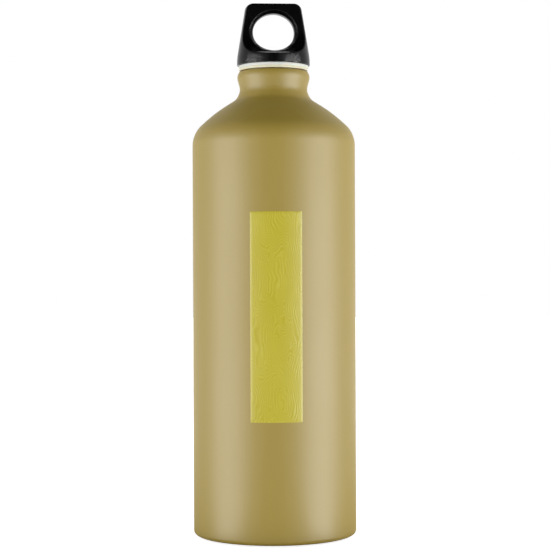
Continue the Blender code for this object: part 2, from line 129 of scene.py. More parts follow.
# Layers of the noise behind each of these
BROAD_LAYER, FINE_LAYER, PATCH_LAYER, HEIGHT_LAYER = 1, 3, 5, 9

# How much of the moulded softness the skirt's lower edge keeps
LEAST_SOFTNESS = 0.12

# Upright side lamps: how far off, how wide and how high; and the low ones before each: how
# many, and how bright against it
SIDE_DISTANCE, SIDE_WIDTH, SIDE_HEIGHT = 0.9, 0.85, 0.50
LOW_LAMPS, LOW_SHARE = 6, 0.9
# Lamps for matt surfaces: the angle from the camera, the height of the middle, and the size
FILL_ANGLE, FILL_HEIGHT, FILL_SIZE = math.radians(120), 0.44, 0.6
# The dark card behind the camera, the dark ceiling, and the strip of it that reflections show
CARD_DISTANCE, CARD_WIDTH = 1.2, 0.74
CEILING_HEIGHT, CEILING_SIZE, STRIP_WIDTH = 1.2, 2.9, 0.9
# The floor's size, how much wider the painted shadow in its glow is in reflections, and the space between
# floor, lamps and cards
FLOOR_SIZE, MIRROR_SHADOW, GAP = 8.0, 0.6, 0.0005
PAPER_WHITE, CARD_BLACK, WHITE = (0.82, 0.82, 0.82, 1), (0.006, 0.006, 0.006, 1), (1, 1, 1, 1)
# The camera's sensor, in millimetres, and where its sight begins
SENSOR_WIDTH, SIGHT_START = 36.0, 0.01


# Properties


def length(name, description, default):
    """A size that a user can change."""
    return FloatProperty(
        name=name, description=description, default=default, min=0.0, precision=5, unit="LENGTH"
    )


def lengths(name, description, *defaults):
    """Two or three sizes that belong together and that a user can change."""
    return FloatVectorProperty(
        name=name, description=description, default=defaults, size=len(defaults), min=0.0,
        precision=5, unit="LENGTH"
    )


def share(name, description, default):
    """A number from 0 to 1 that a user can change."""
    return FloatProperty(
        name=name, description=description, default=default, min=0.0, max=1.0, subtype="FACTOR"
    )


def angle(name, description, degrees):
    """An angle that a user can change."""
    return FloatProperty(
        name=name, description=description, default=math.radians(degrees), subtype="ANGLE"
    )


def colour(name, description, default):
    """A colour that a user can change."""
    return FloatVectorProperty(
        name=name, description=description, default=default, min=0.0, max=1.0, subtype="COLOR"
    )


def number(name, description, default, least=0.0):
    """A number that a user can change. As a brightness, 1 is white."""
    return FloatProperty(name=name, description=description, default=default, min=least)


def count(name, description, default):
    """A whole number that a user can change."""
    return IntProperty(name=name, description=description, default=default, min=3)


class ShellSizes(PropertyGroup):
    """Sizes of the aluminium shell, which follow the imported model."""

    radius: length("Radius", "Outer radius of the straight wall", SHELL_HIGH.x)
    wall: length("Wall", "Thickness of the aluminium", 0.0008)
    heel: lengths("Heel", "Rise of its corner, width of the slope, and rounding", 0.00107, 0.0067, 0.0023)
    foot: lengths("Foot ring", "Width of the flat ring, and rounding beside it", 0.0023, 0.003)
    dome: lengths("Dome", "Rise of the base, width of the slope, and rounding", 0.006, 0.009, 0.018)
    shoulder: lengths("Shoulder", "Height and rounding over the straight wall", 0.1977, 0.0135)
    crown: lengths("Crown", "Radius, height and rounding of the crown", 0.02867, 0.2079, 0.067)
    root: lengths("Neck root", "Radius, height and rounding", 0.01842, 0.21438, 0.0062)
    waist: lengths("Waist", "Radius, height and rounding", 0.01626, 0.21896, 0.0059)
    bulge: lengths("Bulge", "Radius, height and rounding", 0.01809, 0.22573, 0.0046)
    rim_height: length("Rim height", "Height of the rolled rim", SHELL_HIGH.z)
    rim: lengths("Rim", "Inset from the bulge, and rounding outside and inside", 0.00114, 0.0005, 0.0003)
    seat: lengths("Seal seat", "Outer radius, and height over the rim's outer edge", 0.0152, 0.0008)
    mouth_radius: length("Mouth radius", "Inner radius of the rim", 0.01476)
    lining: lengths("Lining", "Gap round what the shell holds, and thickness", 0.0003, 0.0002)
    segments: count("Segments", "Faces round the shell", 192)


class PanelSizes(PropertyGroup):
    """Sizes of the foil panel on the front."""

    height: length("Height", "Height of the panel", PANEL_HIGH.z - PANEL_LOW.z)
    width: length("Width", "Width of the panel along the wall", 0.0249)
    offset: length("Offset", "Its middle lies this far to the right", 0.0010)
    thickness: length("Thickness", "Thickness of the foil between its creases", 0.00007)
    crease_rise: length("Crease rise", "How far the creases stand proud", 0.0001)
    crease_width: length("Crease width", "Spacing of the creases", 0.0012)
    swirl: length("Swirl", "Size of the bends in the creases", 0.0075)


class ThreadSizes(PropertyGroup):
    """Sizes of the thread and of the ring that carries it in the neck."""

    pitch: length("Pitch", "Rise of the thread in one turn", 0.004)
    ridge: lengths("Ridge", "Its height, and its width at root and crest", 0.0012, 0.0020, 0.0010)
    root_radius: length("Root radius", "Radius of the plug under the thread", 0.01276)
    foot: length("Foot", "Depth of the thread's start below the rim", 0.0100)
    turns: number("Turns", "Turns of the male thread", 2.05, 0.5)
    fade: number("Fade", "Turns over which it runs out", 0.12, 0.01)
    groove: lengths("Groove", "Depth, chamfer at the ends, and slack", 0.00125, 0.0005, 0.00035)
    row: length("Row", "Height of one row of faces", 0.0001)
    turned_by: angle("Turned by", "How far the closed cap is turned", 3.5)
    segments: count("Segments", "Faces round the threaded pieces", 144)


class PlugSizes(PropertyGroup):
    """Sizes of the plug and the seal, counted from the rim."""

    seal: lengths("Seal", "Heights of underside and top, and inner radius", 0.00002, 0.00088, 0.01336)
    seal_side: lengths("Seal side", "Hang, slack at the seat, and slope", 0.0002, 0.0001, 0.0003)
    flange: lengths("Flange", "Heights of underside and top, and radius", 0.0009, 0.00228, 0.01709)
    cup: lengths("Cup", "Depth below the rim, thickness of the bottom, and bore", 0.0114, 0.0012, 0.01126)
    chamfer: length("Chamfer", "Rounding of the plug's bottom edge", 0.0008)
    bead: lengths("Snap bead", "Depth below the rim, height, and rise", 0.0042, 0.0020, 0.0004)
    edge: length("Edge", "Rounding of the moulded edges", 0.00015)


class CapSizes(PropertyGroup):
    """Sizes of the moulded cap, counted from the rim."""

    skirt_radius: length("Skirt radius", "Outer radius of the skirt", CAP_HIGH.x)
    skirt: lengths("Skirt", "Height of its edge, of its straight part, and wall", 0.0023, 0.0035, 0.0020)
    skirt_fillet: length("Skirt fillet", "Rounding between skirt and cone", 0.025)
    top: lengths("Top", "Radius, height and rounding", 0.01359, CAP_HIGH.z - SHELL_HIGH.z, 0.0035)
    cavity_top: length("Cavity top", "Height of the hollow in the skirt", 0.0046)
    shelf: length("Shelf", "Height of the floor of the scoops", 0.0066)
    scoop: length("Scoop", "Radius of the scoops on both sides of the loop", 0.015)
    loop: length("Loop", "Thickness of the flat loop", 0.0084)
    hole: lengths("Finger hole", "Heights of its ends, and its width", 0.0090, 0.0279, 0.02044)
    bevel: lengths("Hole bevel", "Width and depth of the bevel round it", 0.0015, 0.0019)
    spigot: lengths("Spigot", "Outer and inner radius, and depth", 0.01096, 0.00926, 0.0058)
    grain: length("Grain", "Size of the faces that the cap is rebuilt from", 0.00028)
    softness: count("Softness", "How many times the moulded edges are smoothed", 11)
    segments: count("Segments", "Faces round the cap", 144)


class Finishes(PropertyGroup):
    """Colours and gloss of the finishes."""

    lacquer: colour("Lacquer", "Khaki-gold lacquer on the shell", (0.350, 0.252, 0.0385))
    lacquer_light: colour("Lacquer flakes", "Lighter flakes in the lacquer", (0.380, 0.274, 0.0418))
    lacquer_roughness: share("Lacquer roughness", "Roughness of the lacquer", 0.48)
    foil: colour("Foil", "Yellow foil on the front", (0.500, 0.415, 0.007))
    # The foil's second colour is a painted highlight on its raised creases, and also the tone of its faint
    # lighter clouds
    foil_sheen_and_cloud: colour("Foil creases", "Lighter creases in the foil", (0.600, 0.530, 0.055))
    foil_roughness: share("Foil roughness", "Roughness of the foil", 0.36)
    lining: colour("Lining", "Baked lining inside", (0.560, 0.480, 0.330))
    metal: colour("Bare metal", "Machined and scuffed aluminium", (0.700, 0.700, 0.710))
    seal: colour("Seal", "Cream silicone", (0.780, 0.740, 0.540))
    plug: colour("Plug", "Cream-white plastic", (0.800, 0.810, 0.750))
    cap: colour("Cap", "Black plastic", (0.0008, 0.0008, 0.0008))
    cap_roughness: share("Cap roughness", "Roughness of the cap", 0.24)


class Studio(PropertyGroup):
    """The camera's place, and how bright and dark the studio is."""

    lens: number("Lens", "Focal length in millimetres", 104.24)
    distance: length("Distance", "From the camera to the bottle's axis", 0.786)
    height: length("Height", "Height of the camera", 0.12807)
    aside: length("Aside", "How far the camera stands to the right", 0.0004)
    roll: angle("Roll", "How far the camera leans to the right", 0.22)
    side_angle: angle("Side lamps", "From the camera's direction to each side lamp", 66.0)
    left: number("Left lamp", "Brightness of the left lamp, seen in reflections", 7.5)
    right: number("Right lamp", "Brightness of the right lamp, seen in reflections", 9.0)
    left_fill: number("Left fill", "Brightness of the left lamp that lights matt surfaces", 1.6)
    right_fill: number("Right fill", "Brightness of the right lamp that lights matt surfaces", 2.9)
    world: number("Surroundings", "Light from all around on matt surfaces", 0.88)
    background: number("Background", "Light that the camera and glossy surfaces see", 1.0)
    floor: number("Floor glow", "Light that the white floor gives off", 0.84)
    # foot_shadow is the width of a painted shadow, faded into the floor's glow round the foot
    foot_shadow: length("Foot shadow", "Width of the darker floor round the foot", 0.010)


class BottleSettings(PropertyGroup):
    """Everything about the bottle that a user can change."""

    shell: PointerProperty(type=ShellSizes)
    panel: PointerProperty(type=PanelSizes)
    thread: PointerProperty(type=ThreadSizes)
    plug: PointerProperty(type=PlugSizes)
    cap: PointerProperty(type=CapSizes)
    finishes: PointerProperty(type=Finishes)
    studio: PointerProperty(type=Studio)


# Outlines: a corner is (radius, height, fillet), and a point is (radius, height)


def arms(before, corner, after):
    """Unit vectors from a corner to its neighbours, and half the angle between them."""
    back = (Vector(before[:2]) - Vector(corner[:2])).normalized()
    ahead = (Vector(after[:2]) - Vector(corner[:2])).normalized()
    return back, ahead, back.angle(ahead) / 2


def arc(before, corner, after):
    """Points of the arc that rounds one corner."""
    if len(corner) < 3 or corner[2] < TINY:
        return [corner[:2]]
    back, ahead, half = arms(before, corner, after)
    radius = corner[2]
    centre = Vector(corner[:2]) + (back + ahead).normalized() * (radius / math.sin(half))
    arm = Vector(corner[:2]) + back * (radius / math.tan(half)) - centre
    sweep = math.copysign(math.pi - 2 * half, -back.cross(ahead))
    steps = math.ceil(abs(sweep) / ARC_STEP)
    return [tuple(centre + Matrix.Rotation(sweep * i / steps, 2) @ arm) for i in range(steps + 1)]


def rounded(corners, closed=False):
    """The points of an outline, with its fillets worked out."""
    if closed:
        corners = [corners[-1], *corners, corners[0]]
    points = []
    for before, corner, after in zip(corners, corners[1:], corners[2:]):
        points += arc(before, corner, after)
    if closed:
        return points
    return [corners[0][:2], *points, corners[-1][:2]]


def side_step(end, neighbour, depth):
    """An outline's end, moved square to its last side."""
    along = (Vector(neighbour[:2]) - Vector(end[:2])).normalized()
    return end[0] - along.y * depth, end[1] + along.x * depth


def inset(corners, depth):
    """The corners of a parallel outline, at a depth to the left of the first one."""
    moved = [side_step(corners[0], corners[1], depth)]
    for before, corner, after in zip(corners, corners[1:], corners[2:]):
        back, ahead, half = arms(before, corner, after)
        inward = math.copysign(depth, -back.cross(ahead))
        point = Vector(corner[:2]) + (back + ahead).normalized() * (inward / math.sin(half))
        moved.append((point.x, point.y, max(0.0, corner[2] - inward)))
    moved.append(side_step(corners[-1], corners[-2], -depth))
    return moved


def crossing(start, end, height):
    """Where the side between two points passes a height."""
    ratio = (height - start[1]) / (end[1] - start[1])
    return start[0] + (end[0] - start[0]) * ratio, height


def part_below(points, height):
    """The run of a rising outline up to a height, cut there."""
    kept = [points[0]]
    for start, end in zip(points, points[1:]):
        if end[1] >= height - TINY:
            return [*kept, crossing(start, end, height)]
        kept.append(end)
    return kept


def part_above(points, height):
    """The run of a rising outline from a height on, cut there."""
    lower = [(radius, -level) for radius, level in points[::-1]]
    return [(radius, -level) for radius, level in part_below(lower, -height)][::-1]


# Meshes


def piece_of(name, form, sharp=SHARP_ANGLE):
    """An object in the scene that takes over a bmesh, with its round faces shaded smooth."""
    bmesh.ops.recalc_face_normals(form, faces=form.faces)
    mesh = bpy.data.meshes.new(name)
    form.to_mesh(mesh)
    form.free()
    piece = bpy.data.objects.new(name, mesh)
    bpy.context.scene.collection.objects.link(piece)
    shade(piece, sharp)
    return piece


def shade(piece, sharp=SHARP_ANGLE):
    """Shades a piece smooth but for its sharp edges."""
    piece.data.shade_smooth()
    piece.data.set_sharp_from_angle(angle=sharp)


def ring_faces(form, upper, lower):
    """Faces between two rings of vertices, which may shrink to one point."""
    for i in range(len(upper)):
        j = (i + 1) % len(upper)
        form.faces.new(list(dict.fromkeys((upper[i], lower[i], lower[j], upper[j]))))


def turned(name, outline, segments, closed=False, wave=None):
    """A body turned round the Z axis. wave gives a point's radius from its place and its turn."""
    form = bmesh.new()
    rings = []
    for radius, height in outline:
        if radius < TINY:
            rings.append([form.verts.new((0, 0, height))] * segments)
            continue
        ring = []
        for i in range(segments):
            turn = i / segments
            reach = wave(radius, height, turn) if wave else radius
            across = Matrix.Rotation(turn * math.tau, 2) @ Vector((reach, 0))
            ring.append(form.verts.new((*across, height)))
        rings.append(ring)
    if closed:
        rings.append(rings[0])
    for upper, lower in zip(rings, rings[1:]):
        ring_faces(form, upper, lower)
    return piece_of(name, form)


def skinned(name, rings):
    """A closed body through rings of points, with its two ends filled."""
    form = bmesh.new()
    made = [[form.verts.new(point) for point in ring] for ring in rings]
    for upper, lower in zip(made, made[1:]):
        ring_faces(form, upper, lower)
    form.faces.new(made[0])
    form.faces.new(made[-1])
    return piece_of(name, form)


def settle(piece):
    """Fixes a piece's modifiers into its mesh."""
    graph = bpy.context.evaluated_depsgraph_get()
    mesh = bpy.data.meshes.new_from_object(piece.evaluated_get(graph))
    old = piece.data
    piece.modifiers.clear()
    piece.data = mesh
    bpy.data.meshes.remove(old)
    mesh.name = piece.name


def carve(piece, tool):
    """Cuts a tool's shape out of a piece and drops the tool."""
    change = piece.modifiers.new("carve", "BOOLEAN")
    change.operation = "DIFFERENCE"
    change.solver = "EXACT"
    change.object = tool
    settle(piece)
    bpy.data.objects.remove(tool, do_unlink=True)


def lifted(points, height):
    """An outline, moved up."""
    return [(radius, level + height) for radius, level in points]


def dress(piece, finish, body, node):
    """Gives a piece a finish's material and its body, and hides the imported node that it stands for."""
    piece.data.materials.clear()
    piece.data.materials.append(finish(bpy.context.scene.aluminium_bottle.finishes))
    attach(piece, body)
    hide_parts(node)


# Finishes


class Nodes:
    """The nodes of a material or a world."""

    def __init__(self, owner):
        owner.use_nodes = True
        self.tree = owner.node_tree

    def add(self, kind, inputs, **settings):
        """Adds a node with its settings, and fills its sockets with values or links."""
        node = self.tree.nodes.new(kind)
        for key, value in settings.items():
            setattr(node, key, value)
        for key, value in inputs.items():
            if isinstance(value, bpy.types.NodeSocket):
                self.tree.links.new(value, node.inputs[key])
            else:
                node.inputs[key].default_value = value
        return node

    def maths(self, operation, *values):
        """What an operation makes of its values or links."""
        return self.add("ShaderNodeMath", dict(enumerate(values)), operation=operation).outputs[0]


class Paint(Nodes):
    """A material under way: a Principled shader and the nodes that feed it."""

    def __init__(self, name, constants):
        self.material = bpy.data.materials.new(name)
        super().__init__(self.material)
        self.shader = self.tree.nodes["Principled BSDF"]
        for socket, value in constants.items():
            self.shader.inputs[socket].default_value = value
        self.place = self.tree.nodes.new("ShaderNodeTexCoord").outputs["Object"]

    def noise(self, grain, detail=2.0, roughness=0.5, warp=0.0):
        """Noise whose blots measure grain, one length or one for each axis."""
        sizes = grain if isinstance(grain, tuple) else (grain,) * 3
        scale = [1 / size for size in sizes]
        inputs = {
            "Vector": self.add("ShaderNodeMapping", {"Vector": self.place, "Scale": scale}).outputs[0],
            "Scale": 1.0,
            "Detail": detail,
            "Roughness": roughness,
            "Distortion": warp,
        }
        return self.add("ShaderNodeTexNoise", inputs).outputs[0]

    def spread(self, value, low, high, smallest=0.3, largest=0.7):
        """A value between two limits, stretched to run from low to high."""
        inputs = {"Value": value, "From Min": smallest, "From Max": largest, "To Min": low, "To Max": high}
        return self.add("ShaderNodeMapRange", inputs).outputs[0]

    def strayed(self, blots, middle, stray):
        """A number that strays from a middle value, in blots, by two offsets."""
        return self.spread(blots, middle + stray[0], middle + stray[1])

    def mix(self, factor, first, second):
        """Two colours mixed; each is a colour or a link."""
        inputs = {0: factor, 6: opaque(first), 7: opaque(second)}
        return self.add("ShaderNodeMix", inputs, data_type="RGBA").outputs[2]

    def clouded(self, blots, first, second, most):
        """A colour that turns into a second one in blots, by a share of most where they are strongest."""
        return self.mix(self.spread(blots, 0.0, most), first, second)

    def bump(self, height, depth, strength=1.0, below=None):
        """A normal from a height map that runs from 0 to 1 over a real depth."""
        inputs = {"Height": height, "Distance": depth, "Strength": strength}
        if below:
            inputs["Normal"] = below
        return self.add("ShaderNodeBump", inputs).outputs["Normal"]

    def finish(self, base, roughness, normal, metal=None):
        """The material, with its colour, roughness and normal linked, and how far it is metal."""
        links = {"Base Color": base, "Roughness": roughness, "Normal": normal}
        if metal:
            links["Metallic"] = metal
        for socket, value in links.items():
            self.tree.links.new(value, self.shader.inputs[socket])
        return self.material


def opaque(value):
    """A colour with full alpha, or a link as it is."""
    if isinstance(value, bpy.types.NodeSocket):
        return value
    return (*value, 1.0)


def tinted(base, tint):
    """A colour with its red, green and blue multiplied by those of a tint."""
    return [value * part for value, part in zip(base, tint)]


def satin_lacquer(finishes):
    """Satin metallic lacquer, with fine flakes and faint clouds, scuffed to metal on the foot."""
    paint = Paint("satin_lacquer", {"IOR": 1.45})
    flakes = paint.noise(FLAKE, 1.0)
    clouds = paint.noise(CLOUD)
    base = paint.mix(paint.spread(flakes, 0.25, 0.75), finishes.lacquer, finishes.lacquer_light)
    faded = paint.clouded(clouds, base, finishes.lacquer_light, 0.12)
    height = paint.add("ShaderNodeSeparateXYZ", {"Vector": paint.place}).outputs["Z"]
    low = paint.spread(height, 1.0, 0.0, smallest=0.0, largest=SCUFF_HEIGHT)
    scars = paint.spread(paint.noise(SCUFF, 4.0), 0.0, 0.8, smallest=0.45, largest=0.6)
    scuff = paint.maths("MULTIPLY", low, scars)
    worn = paint.mix(scuff, faded, finishes.metal)
    roughness = paint.strayed(clouds, finishes.lacquer_roughness, LACQUER_STRAY)
    skin = paint.bump(paint.noise(PEEL), PEEL_DEPTH)
    grain = paint.bump(flakes, FLAKE_DEPTH, 0.6, skin)
    return paint.finish(worn, roughness, grain, metal=scuff)


def baked_lining(finishes):
    """Beige lining, baked on, with a slight orange peel."""
    paint = Paint("baked_lining", {"IOR": 1.5})
    stain = paint.noise(STAIN, 3.0, warp=0.4)
    base = paint.clouded(stain, finishes.lining, tinted(finishes.lining, LINING_TINT), 0.6)
    peel = paint.bump(paint.noise(LINING_PEEL), LINING_DEPTH, 0.5)
    return paint.finish(base, paint.spread(stain, *LINING_GLOSS), peel)


def turned_metal(finishes):
    """Bare machined aluminium, with the fine rings that a lathe tool leaves."""
    paint = Paint("turned_metal", {"Metallic": 1.0})
    smear = paint.noise(SMEAR, 3.0)
    base = paint.clouded(smear, finishes.metal, tinted(finishes.metal, METAL_TINT), 0.7)
    rings = paint.bump(paint.noise(TURNING), TURNING_DEPTH)
    return paint.finish(base, paint.spread(smear, *METAL_GLOSS), rings)


def creased_foil(finishes):
    """Yellow foil with a painted highlight along its raised creases, faint lighter clouds, and a fine
    grain.
    """
    paint = Paint("creased_foil", {"IOR": 1.42})
    folds = paint.add("ShaderNodeAttribute", {}, attribute_name=CREASE).outputs["Fac"]
    specks = paint.noise(FOIL_SPECK, roughness=0.6, warp=0.6)
    # Painted highlight: the foil is coloured lighter where its folds stand proud
    ridge_highlight = paint.spread(folds, 0.0, 1.0, smallest=0.25, largest=0.95)
    highlit_ridges = paint.mix(ridge_highlight, finishes.foil, finishes.foil_sheen_and_cloud)
    base = paint.clouded(paint.noise(FOIL_CLOUD), highlit_ridges, finishes.foil_sheen_and_cloud, 0.3)
    roughness = paint.strayed(specks, finishes.foil_roughness, FOIL_STRAY)
    return paint.finish(base, roughness, paint.bump(specks, SPECK_DEPTH, 0.6))


def soft_silicone(finishes):
    """Cream silicone, dull and a little translucent."""
    constants = {"IOR": 1.41, "Subsurface Weight": 0.15, "Subsurface Scale": 0.002}
    paint = Paint("soft_silicone", constants)
    cloud = paint.noise(SILICONE_CLOUD, 3.0)
    base = paint.clouded(cloud, finishes.seal, tinted(finishes.seal, SILICONE_TINT), 0.6)
    grain = paint.bump(paint.noise(SILICONE_GRAIN), SILICONE_DEPTH, 0.5)
    return paint.finish(base, paint.spread(cloud, *SILICONE_GLOSS), grain)


def cream_plastic(finishes):
    """Moulded cream-white plastic, satin, with a fine grain."""
    constants = {"IOR": 1.38, "Subsurface Weight": 0.1, "Subsurface Scale": 0.001}
    paint = Paint("cream_plastic", constants)
    cloud = paint.noise(PLUG_CLOUD)
    base = paint.clouded(cloud, finishes.plug, tinted(finishes.plug, PLUG_TINT), 0.8)
    grain = paint.bump(paint.noise(PLUG_GRAIN), PLUG_DEPTH, 0.6)
    return paint.finish(base, paint.spread(cloud, *PLUG_GLOSS), grain)


def black_plastic(finishes):
    """Moulded black plastic, satin, with a fine spark-eroded grain."""
    paint = Paint("black_plastic", {"IOR": 1.24})
    cloud = paint.noise(CAP_CLOUD, 3.0)
    base = paint.clouded(cloud, finishes.cap, tinted(finishes.cap, CAP_TINT), 0.7)
    roughness = paint.strayed(cloud, finishes.cap_roughness, CAP_STRAY)
    swell = paint.bump(paint.noise(CAP_SWELL, 1.0), SWELL_DEPTH, 0.5)
    grain = paint.bump(paint.noise(CAP_GRAIN, roughness=0.6), CAP_DEPTH, 0.8, swell)
    return paint.finish(base, roughness, grain)


# The shell and what it holds


def shell_corners(shell):
    """The shell's outer outline, from the middle of the base up to the rim's inner edge."""
    heel_rise, heel_run, heel_fillet = shell.heel
    foot_width, foot_fillet = shell.foot
    dome_rise, dome_run, dome_fillet = shell.dome
    rim_tuck, rim_fillet, _ = shell.rim
    foot = shell.radius - heel_run - foot_width
    return [
        (0, dome_rise),
        (foot - dome_run, dome_rise, dome_fillet),
        (foot, 0, foot_fillet),
        (foot + foot_width, 0, foot_fillet),
        (shell.radius, heel_rise, heel_fillet),
        (shell.radius, *shell.shoulder),
        tuple(shell.crown),
        tuple(shell.root),
        tuple(shell.waist),
        tuple(shell.bulge),
        (shell.bulge[0] - rim_tuck, shell.rim_height, rim_fillet),
        (shell.mouth_radius, shell.rim_height),
    ]


def neck_points(shell, depth):
    """The points of the outline at a depth under the shell's outer face."""
    return rounded(inset(shell_corners(shell), depth))


class BOTTLE_OT_add_shell(Operator):
    """Adds the lacquered aluminium shell"""

    bl_idname = "bottle.add_shell"
    bl_label = "Aluminium Shell"

    def execute(self, context):
        shell = context.scene.aluminium_bottle.shell
        outer = shell_corners(shell)
        inner = inset(outer, shell.wall)
        _, rim_fillet, edge = shell.rim
        seat, rise = shell.seat
        low = shell.rim_height - rise
        step = [(outer[-2][0], low, rim_fillet), (seat, low), (seat, shell.rim_height)]
        lip = [(*outer[-1], edge), (*inner[-1], edge)]
        outline = rounded([*outer[:-2], *step, *lip, *inner[-2::-1]])
        piece = turned("bottle_body", outline, shell.segments)
        dress(piece, satin_lacquer, "bottle", "bottle_shell")
        return {"FINISHED"}


class BOTTLE_OT_add_lining(Operator):
    """Adds the lining baked on inside the shell"""

    bl_idname = "bottle.add_lining"
    bl_label = "Lining"

    def execute(self, context):
        shell = context.scene.aluminium_bottle.shell
        gap, thickness = shell.lining
        top = RING_LOW.z - gap
        depth = shell.wall + gap
        outside = part_below(neck_points(shell, depth), top)
        inside = part_below(neck_points(shell, depth + thickness), top)
        piece = turned("body_lining", outside + inside[::-1], shell.segments // 2)
        dress(piece, baked_lining, "bottle", "inner_liner")
        return {"FINISHED"}


# The foil panel


def swirl_noise(panel, across, up, layer):
    """Smooth noise over the foil, from about -1 to 1, that runs longer upwards."""
    return noise.noise(Vector((across / panel.swirl, up / panel.swirl / 2, layer)))


def crease(panel, across, up):
    """How far the foil stands proud at a place, from 0 to 1."""
    fine = (panel, FINER * across, FINER * up)
    broad_bend = BROAD_BEND * swirl_noise(panel, across, up, BROAD_LAYER)
    bend = broad_bend + FINE_BEND * swirl_noise(*fine, FINE_LAYER)
    upright = math.cos(math.tau * (across / panel.crease_width + bend))
    level = math.cos(math.tau * (up / panel.crease_width + LEVEL_BEND * bend))
    side = 1 - (panel.width / 2 - abs(across)) / FOIL_MARGIN
    patch = PATCH_GAIN * swirl_noise(panel, across, up, PATCH_LAYER) + PATCH_SHIFT
    flat = max(0.0, min(1.0, max(side, patch)))
    height = FOLD_HEIGHT + FOLD_SWING * swirl_noise(*fine, HEIGHT_LAYER)
    return 0.5 + 0.5 * height * (upright * (1 - flat) + level * flat)


def panel_point(panel, radius, across, up):
    """A point on the wall's front, from its place on the flat foil."""
    turn = (panel.offset + across) / SHELL_HIGH.x - math.pi / 2
    return radius * math.cos(turn), radius * math.sin(turn), PANEL_LOW.z + up


def panel_sheet(form, panel, radius, rise):
    """One face of the foil, as rows of vertices that know how creased they are."""
    folds = form.verts.layers.float[CREASE]
    sheet = []
    for row in range(FOIL_ROWS + 1):
        up = panel.height * row / FOIL_ROWS
        line = []
        for column in range(FOIL_COLUMNS + 1):
            across = panel.width * (column / FOIL_COLUMNS - 0.5)
            inland = min(across + panel.width / 2, panel.width / 2 - across, up, panel.height - up)
            settled = min(1.0, inland / FOIL_EDGE)
            slope = math.sin(settled * math.pi / 2)
            fold = crease(panel, across, up)
            proud = slope * (rise + (panel.crease_rise * fold if rise else 0))
            wander = noise.noise_vector(Vector((across, up, panel.swirl)) / panel.crease_width)
            slip = FOIL_WANDER * (1 - settled)
            edge = across + wander.x * slip * 2 * abs(across) / panel.width
            lift = min(panel.height, max(0.0, up + wander.y * slip))
            vertex = form.verts.new(panel_point(panel, radius + proud, edge, lift))
            vertex[folds] = fold
            line.append(vertex)
        sheet.append(line)
    return sheet


class BOTTLE_OT_add_panel(Operator):
    """Adds the creased foil panel on the front"""

    bl_idname = "bottle.add_panel"
    bl_label = "Foil Panel"

    def execute(self, context):
        settings = context.scene.aluminium_bottle
        panel = settings.panel
        noise.seed_set(FOIL_SEED)
        form = bmesh.new()
        form.verts.layers.float.new(CREASE)
        wall = settings.shell.radius + FOIL_BACKING
        back = panel_sheet(form, panel, wall, 0)
        front = panel_sheet(form, panel, wall + THIN_EDGE * panel.thickness, panel.thickness)
        for sheet in (back, front):
            for lower, upper in zip(sheet, sheet[1:]):
                for i in range(FOIL_COLUMNS):
                    form.faces.new((lower[i], lower[i + 1], upper[i + 1], upper[i]))
        ring_faces(form, border(back), border(front))
        piece = piece_of("front_foil", form)
        dress(piece, creased_foil, "bottle", "label_panel")
        return {"FINISHED"}


def border(sheet):
    """The vertices round a sheet's edge, in order."""
    left = [line[0] for line in sheet[1:-1]]
    right = [line[-1] for line in sheet[1:-1]]
    return [*sheet[0], *right, *sheet[-1][::-1], *left[::-1]]


# The thread


def flank(thread, height, turn, widening):
    """How deep a point lies in the ridge, from 0 at its root to 1 at its crest, and its turns."""
    risen = (height + thread.foot) / thread.pitch - turn
    lap = round(risen)
    away = abs(risen - lap) * thread.pitch
    _, root_width, crest_width = thread.ridge
    slope = (root_width - crest_width) / 2
    depth = (root_width / 2 + widening - away) / slope
    depth = max(0.0, min(1.0, depth))
    return depth * depth * (3 - 2 * depth), lap + turn


def rows_between(low, high, thread):
    """Heights between two levels, one row of faces apart."""
    steps = math.ceil((high - low) / thread.row)
    return [low + (high - low) * i / steps for i in range(steps + 1)]


class BOTTLE_OT_add_thread_ring(Operator):
    """Adds the metal ring with the female thread in the neck"""

    bl_idname = "bottle.add_thread_ring"
    bl_label = "Thread Ring"

    def execute(self, context):
        settings = context.scene.aluminium_bottle
        shell, thread = settings.shell, settings.thread
        groove, chamfer, slack = thread.groove
        bore = thread.root_radius + slack
        start = thread.turned_by / math.tau

        def cut(radius, height, turn):
            """The radius of a point, further out in the groove."""
            if abs(radius - bore) > TINY:
                return radius
            deep, _ = flank(thread, height - shell.rim_height, turn - start, slack)
            return radius + groove * deep

        neck = part_below(neck_points(shell, shell.wall + shell.lining[0]), RING_HIGH.z)
        outside = part_above(neck, RING_LOW.z)
        levels = rows_between(RING_LOW.z + chamfer, RING_HIGH.z - chamfer, thread)[::-1]
        lead = bore + chamfer
        inside = [(lead, RING_HIGH.z), *((bore, level) for level in levels), (lead, RING_LOW.z)]
        piece = turned("neck_thread", outside + inside, thread.segments, closed=True, wave=cut)
        dress(piece, turned_metal, "bottle", "neck_thread_ring")
        return {"FINISHED"}


# The cap, its plug and its seal


class BOTTLE_OT_add_seal(Operator):
    """Adds the silicone seal on the rim"""

    bl_idname = "bottle.add_seal"
    bl_label = "Seal"

    def execute(self, context):
        settings = context.scene.aluminium_bottle
        plug = settings.plug
        hang, slack, slope = plug.seal_side
        seat = settings.shell.seat[0] + slack
        low, high, bore = plug.seal
        outside = plug.flange[2]
        corners = [
            (outside, high, plug.edge),
            (outside - slope, -hang, plug.edge),
            (seat, -hang),
            (seat, low),
            (bore, low, plug.edge),
            (bore, high, plug.edge),
        ]
        outline = lifted(rounded(corners, closed=True), settings.shell.rim_height)
        piece = turned("seal_ring", outline, settings.thread.segments, closed=True)
        dress(piece, soft_silicone, "seal", "sealing_gasket")
        return {"FINISHED"}


def bead(plug, radius):
    """The snap bead's three corners on a wall, from the bottom up."""
    depth, height, rise = plug.bead
    return [
        (radius, -depth - height / 2, plug.edge),
        (radius + rise, -depth, plug.edge),
        (radius, -depth + height / 2, plug.edge),
    ]


